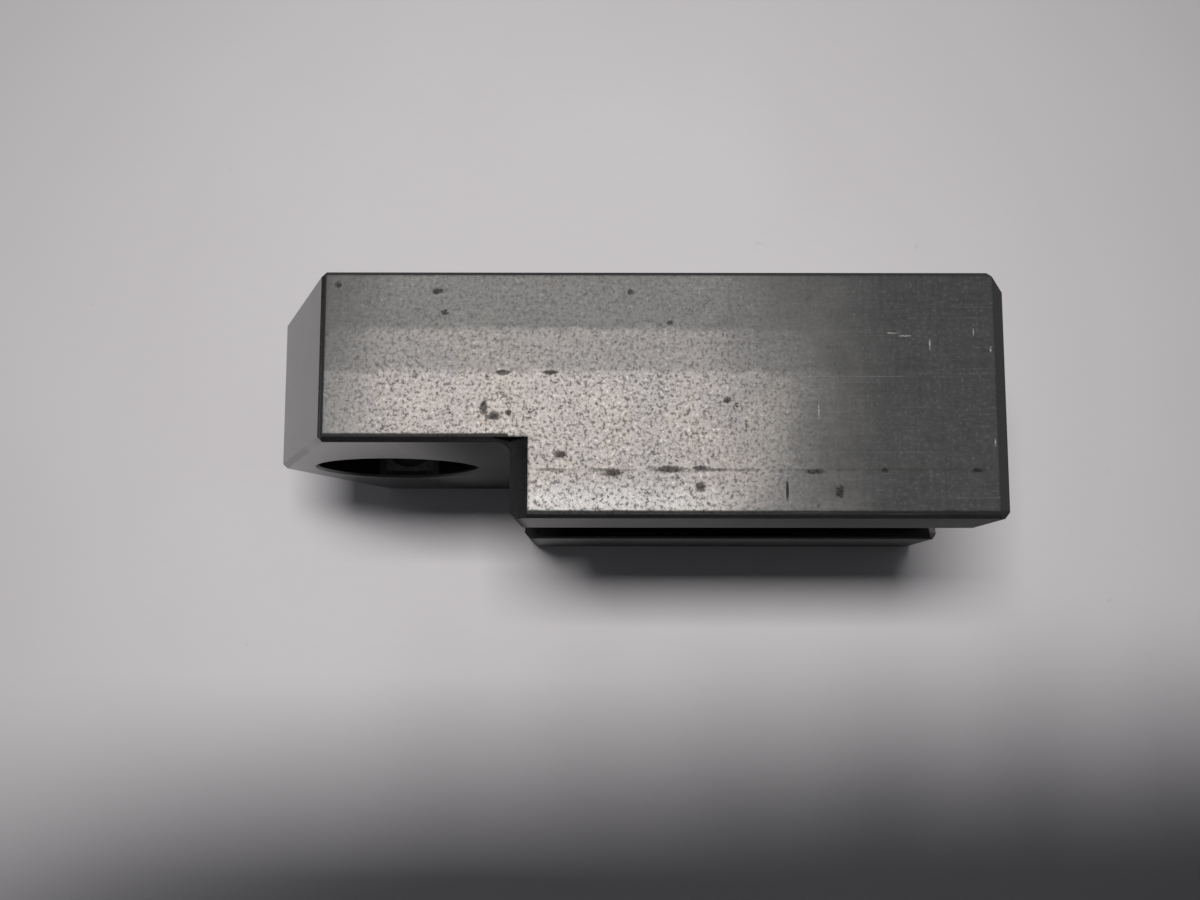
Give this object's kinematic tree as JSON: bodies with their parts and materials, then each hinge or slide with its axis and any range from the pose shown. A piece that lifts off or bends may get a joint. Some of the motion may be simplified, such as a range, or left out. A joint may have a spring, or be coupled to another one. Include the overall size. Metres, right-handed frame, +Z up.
{
  "type": "quick change tool post holder block",
  "caption": "Black steel holder block of a quick change tool post: pointed nose with a cross bore, dovetail slot along the thick tail, cam lock behind the slot.",
  "frame": {"origin": "centre of the tool bore, halfway through the nose", "axes": "+X along the dovetail slot towards the tail end, +Y along the tool bore towards the plain back face, +Z up as the block lies on its side"},
  "size_m": [0.1074, 0.0345, 0.063],
  "materials": {
    "black_oxide": "worn black oxide on ground steel",
    "ground_steel": "ground, lightly oiled",
    "screw_steel": "black oxide",
    "bronze": "turned bronze",
    "spring_steel": "bright wire",
    "seal_rubber": "matt"
  },
  "bodies": {
    "holder": {"holder_block": "black_oxide", "nose_guide_bush": "bronze", "tail_guide_bush": "bronze", "shaft_stop_screw": "screw_steel", "nose_piston_spring": "spring_steel", "tail_piston_spring": "spring_steel"},
    "lock_shaft": {"lock_shaft": "ground_steel", "shaft_seal_ring": "seal_rubber"},
    "nose_piston": {"nose_lock_piston": "ground_steel"},
    "tail_piston": {"tail_lock_piston": "ground_steel"},
    "front_pad": {"front_clamp_pad": "screw_steel"},
    "back_pad": {"back_clamp_pad": "screw_steel"},
    "front_screw": {"front_clamp_screw": "screw_steel"},
    "back_screw": {"back_clamp_screw": "screw_steel"}
  },
  "joints": [
    {"name": "lock_turn", "type": "hinge", "parent": "holder", "child": "lock_shaft", "pos_m": [0.0863, 0.002, 0.0019], "axis": [-1, 0, 0], "range_deg": [0, 120]},
    {"name": "nose_piston_slide", "type": "slide", "parent": "holder", "child": "nose_piston", "axis": [0, -1, 0], "range_m": [0, 0.001], "deforming": ["nose_piston_spring"]},
    {"name": "tail_piston_slide", "type": "slide", "parent": "holder", "child": "tail_piston", "axis": [0, -1, 0], "range_m": [0, 0.001], "deforming": ["tail_piston_spring"]},
    {"name": "front_pad_slide", "type": "slide", "parent": "holder", "child": "front_pad", "axis": [0, 0, 1], "range_m": [-0.00125, 0.00125]},
    {"name": "front_screw_turn", "type": "hinge", "parent": "front_pad", "child": "front_screw", "pos_m": [0, -0.006, -0.0215], "axis": [0, 0, 1], "range_deg": [-360, 360]},
    {"name": "back_pad_slide", "type": "slide", "parent": "holder", "child": "back_pad", "axis": [0, 0, 1], "range_m": [-0.00125, 0.00125]},
    {"name": "back_screw_turn", "type": "hinge", "parent": "back_pad", "child": "back_screw", "pos_m": [0, 0.006, -0.0215], "axis": [0, 0, 1], "range_deg": [-360, 360]}
  ],
  "couplings": [
    {"joint": "nose_piston_slide", "follows": "lock_turn", "m_per_rad": 0.000477},
    {"joint": "tail_piston_slide", "follows": "lock_turn", "m_per_rad": 0.000477},
    {"joint": "front_pad_slide", "follows": "front_screw_turn", "m_per_rad": 0.0001989},
    {"joint": "back_pad_slide", "follows": "back_screw_turn", "m_per_rad": 0.0001989}
  ]
}
